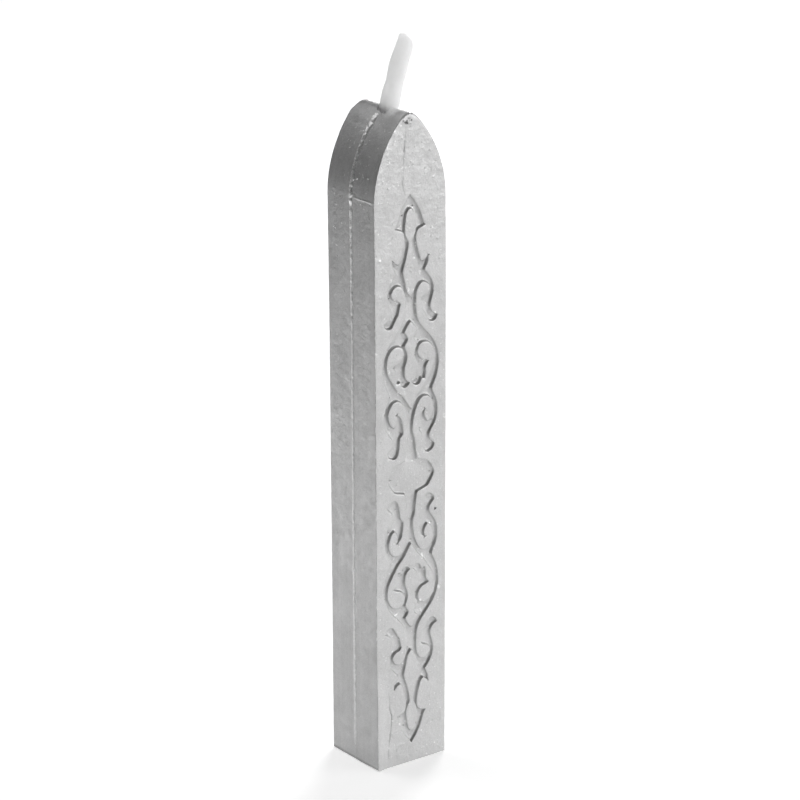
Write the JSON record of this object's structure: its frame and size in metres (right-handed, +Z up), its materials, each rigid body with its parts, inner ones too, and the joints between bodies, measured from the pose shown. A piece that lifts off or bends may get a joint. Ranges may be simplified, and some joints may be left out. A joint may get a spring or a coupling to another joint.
{
  "type": "sealing wax stick",
  "caption": "Rectangular silver-grey sealing wax stick with an arched top, a bent white wick and a sunk scroll ornament on its broad faces; its wick is lit to drip wax for a seal.",
  "frame": {"origin": "middle of the flat base, midway between the broad faces and the narrow sides", "axes": "+Z up the stick towards the wick, -Y out of the front broad face, +X to the right across the front face"},
  "size_m": [0.0118, 0.0102, 0.0987],
  "materials": {
    "silver_wax": "satin wax with fine mica",
    "cotton": "braided cotton",
    "wick_wax": "thin white wax"
  },
  "bodies": {
    "root": {"front_half": "silver_wax", "rear_half": "silver_wax", "seam_bead_left": "silver_wax", "seam_bead_right": "silver_wax", "wick_core": "cotton", "wick_braid": "cotton", "wick_coat": "wick_wax"}
  },
  "joints": []
}
